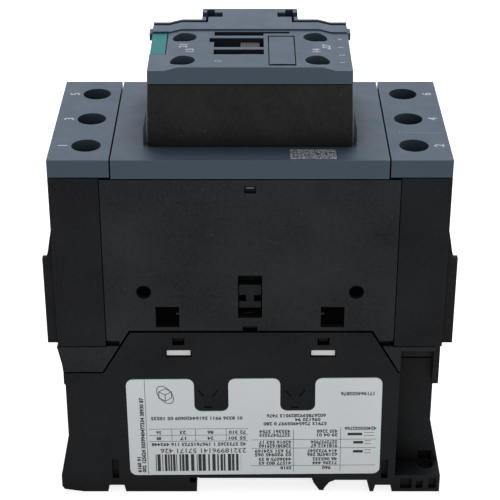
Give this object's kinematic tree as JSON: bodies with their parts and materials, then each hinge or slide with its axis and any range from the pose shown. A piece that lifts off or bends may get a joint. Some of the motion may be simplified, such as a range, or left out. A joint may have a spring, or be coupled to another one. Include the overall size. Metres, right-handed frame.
{
  "type": "contactor",
  "caption": "Rail-mounted power contactor with box terminals, electromagnet and contact carrier inside, and an auxiliary contact block on its front.",
  "frame": {"origin": "centre of the mounting side's outline, on the plane the feet stand on", "axes": "+Z away from the mounting rail towards the front of the device, -X the line side, +X the load side, -Y the side with the rating label"},
  "size_m": [0.114, 0.055, 0.1305],
  "materials": {
    "black_plastic": "matte moulded black thermoplastic",
    "blue_grey_plastic": "matte moulded blue-grey thermoplastic",
    "label_film": "silver-grey printed film",
    "teal_inlay": "smooth teal",
    "ivory_plastic": "natural ivory thermoplastic",
    "zinc_plated_steel": "zinc plated",
    "core_steel": "stacked sheet steel",
    "spring_steel": "drawn spring wire",
    "copper": "bare copper with silver tips",
    "winding_wire": "enamelled copper wire",
    "rubber": "soft black rubber"
  },
  "bodies": {
    "housing": {"base_housing": "black_plastic", "pole_housing": "black_plastic", "line_terminal_block": "black_plastic", "load_terminal_block": "black_plastic", "line_terminal_cover": "blue_grey_plastic", "load_terminal_cover": "blue_grey_plastic", "front_cover": "blue_grey_plastic", "aux_housing": "black_plastic", "aux_hood": "blue_grey_plastic", "device_label_plate": "blue_grey_plastic", "marking_inlay": "teal_inlay", "rating_label": "label_film", "rail_latch_spring": "spring_steel", "core_pad": "rubber", "fixed_core": "core_steel", "coil_former": "ivory_plastic", "coil_winding": "winding_wire", "coil_terminal_1": "copper", "coil_terminal_2": "copper", "return_spring_1": "spring_steel", "return_spring_2": "spring_steel", "fixed_contact_1": "copper", "fixed_contact_2": "copper", "fixed_contact_3": "copper", "fixed_contact_4": "copper", "fixed_contact_5": "copper", "fixed_contact_6": "copper", "aux_contact_13": "copper", "aux_contact_14": "copper", "aux_contact_21": "copper", "aux_contact_22": "copper", "aux_screw_13": "zinc_plated_steel", "aux_screw_14": "zinc_plated_steel", "aux_screw_21": "zinc_plated_steel", "aux_screw_22": "zinc_plated_steel"},
    "carrier": {"contact_carrier": "black_plastic", "armature": "core_steel", "armature_pin": "zinc_plated_steel", "contact_bridge_1": "copper", "contact_bridge_2": "copper", "contact_bridge_3": "copper", "contact_spring_1": "spring_steel", "contact_spring_2": "spring_steel", "contact_spring_3": "spring_steel", "aux_slider": "blue_grey_plastic", "aux_bridge_no": "copper", "aux_bridge_nc": "copper"},
    "latch": {"rail_latch": "black_plastic"},
    "screw_1": {"terminal_screw_1": "zinc_plated_steel"},
    "screw_2": {"terminal_screw_2": "zinc_plated_steel"},
    "screw_3": {"terminal_screw_3": "zinc_plated_steel"},
    "screw_4": {"terminal_screw_4": "zinc_plated_steel"},
    "screw_5": {"terminal_screw_5": "zinc_plated_steel"},
    "screw_6": {"terminal_screw_6": "zinc_plated_steel"},
    "clamp_1": {"terminal_clamp_1": "zinc_plated_steel"},
    "clamp_2": {"terminal_clamp_2": "zinc_plated_steel"},
    "clamp_3": {"terminal_clamp_3": "zinc_plated_steel"},
    "clamp_4": {"terminal_clamp_4": "zinc_plated_steel"},
    "clamp_5": {"terminal_clamp_5": "zinc_plated_steel"},
    "clamp_6": {"terminal_clamp_6": "zinc_plated_steel"}
  },
  "joints": [
    {"name": "carrier_pull_in", "type": "slide", "parent": "housing", "child": "carrier", "axis": [0, 0, 1], "range_m": [-0.003, 0], "stiffness_N_per_m": 1500, "springref_m": 0.006, "deforming": ["return_spring_1", "return_spring_2"]},
    {"name": "latch_release", "type": "slide", "parent": "housing", "child": "latch", "axis": [1, 0, 0], "range_m": [0, 0.004], "stiffness_N_per_m": 900, "springref_m": -0.003, "deforming": ["rail_latch_spring"]},
    {"name": "screw_1_turn", "type": "hinge", "parent": "housing", "child": "screw_1", "pos_m": [-0.0442, -0.018, 0.0923], "axis": [0, 0, -1], "range_deg": [0, 2880]},
    {"name": "screw_2_turn", "type": "hinge", "parent": "housing", "child": "screw_2", "pos_m": [0.0442, -0.018, 0.0923], "axis": [0, 0, -1], "range_deg": [0, 2880]},
    {"name": "screw_3_turn", "type": "hinge", "parent": "housing", "child": "screw_3", "pos_m": [-0.0442, 0, 0.0923], "axis": [0, 0, -1], "range_deg": [0, 2880]},
    {"name": "screw_4_turn", "type": "hinge", "parent": "housing", "child": "screw_4", "pos_m": [0.0442, 0, 0.0923], "axis": [0, 0, -1], "range_deg": [0, 2880]},
    {"name": "screw_5_turn", "type": "hinge", "parent": "housing", "child": "screw_5", "pos_m": [-0.0442, 0.018, 0.0923], "axis": [0, 0, -1], "range_deg": [0, 2880]},
    {"name": "screw_6_turn", "type": "hinge", "parent": "housing", "child": "screw_6", "pos_m": [0.0442, 0.018, 0.0923], "axis": [0, 0, -1], "range_deg": [0, 2880]},
    {"name": "clamp_1_lift", "type": "slide", "parent": "housing", "child": "clamp_1", "axis": [0, 0, 1], "range_m": [0, 0.008]},
    {"name": "clamp_2_lift", "type": "slide", "parent": "housing", "child": "clamp_2", "axis": [0, 0, 1], "range_m": [0, 0.008]},
    {"name": "clamp_3_lift", "type": "slide", "parent": "housing", "child": "clamp_3", "axis": [0, 0, 1], "range_m": [0, 0.008]},
    {"name": "clamp_4_lift", "type": "slide", "parent": "housing", "child": "clamp_4", "axis": [0, 0, 1], "range_m": [0, 0.008]},
    {"name": "clamp_5_lift", "type": "slide", "parent": "housing", "child": "clamp_5", "axis": [0, 0, 1], "range_m": [0, 0.008]},
    {"name": "clamp_6_lift", "type": "slide", "parent": "housing", "child": "clamp_6", "axis": [0, 0, 1], "range_m": [0, 0.008]}
  ],
  "couplings": [
    {"joint": "screw_1_turn", "follows": "clamp_1_lift", "rad_per_m": 6283.1},
    {"joint": "screw_2_turn", "follows": "clamp_2_lift", "rad_per_m": 6283.1},
    {"joint": "screw_3_turn", "follows": "clamp_3_lift", "rad_per_m": 6283.1},
    {"joint": "screw_4_turn", "follows": "clamp_4_lift", "rad_per_m": 6283.1},
    {"joint": "screw_5_turn", "follows": "clamp_5_lift", "rad_per_m": 6283.1},
    {"joint": "screw_6_turn", "follows": "clamp_6_lift", "rad_per_m": 6283.1}
  ]
}
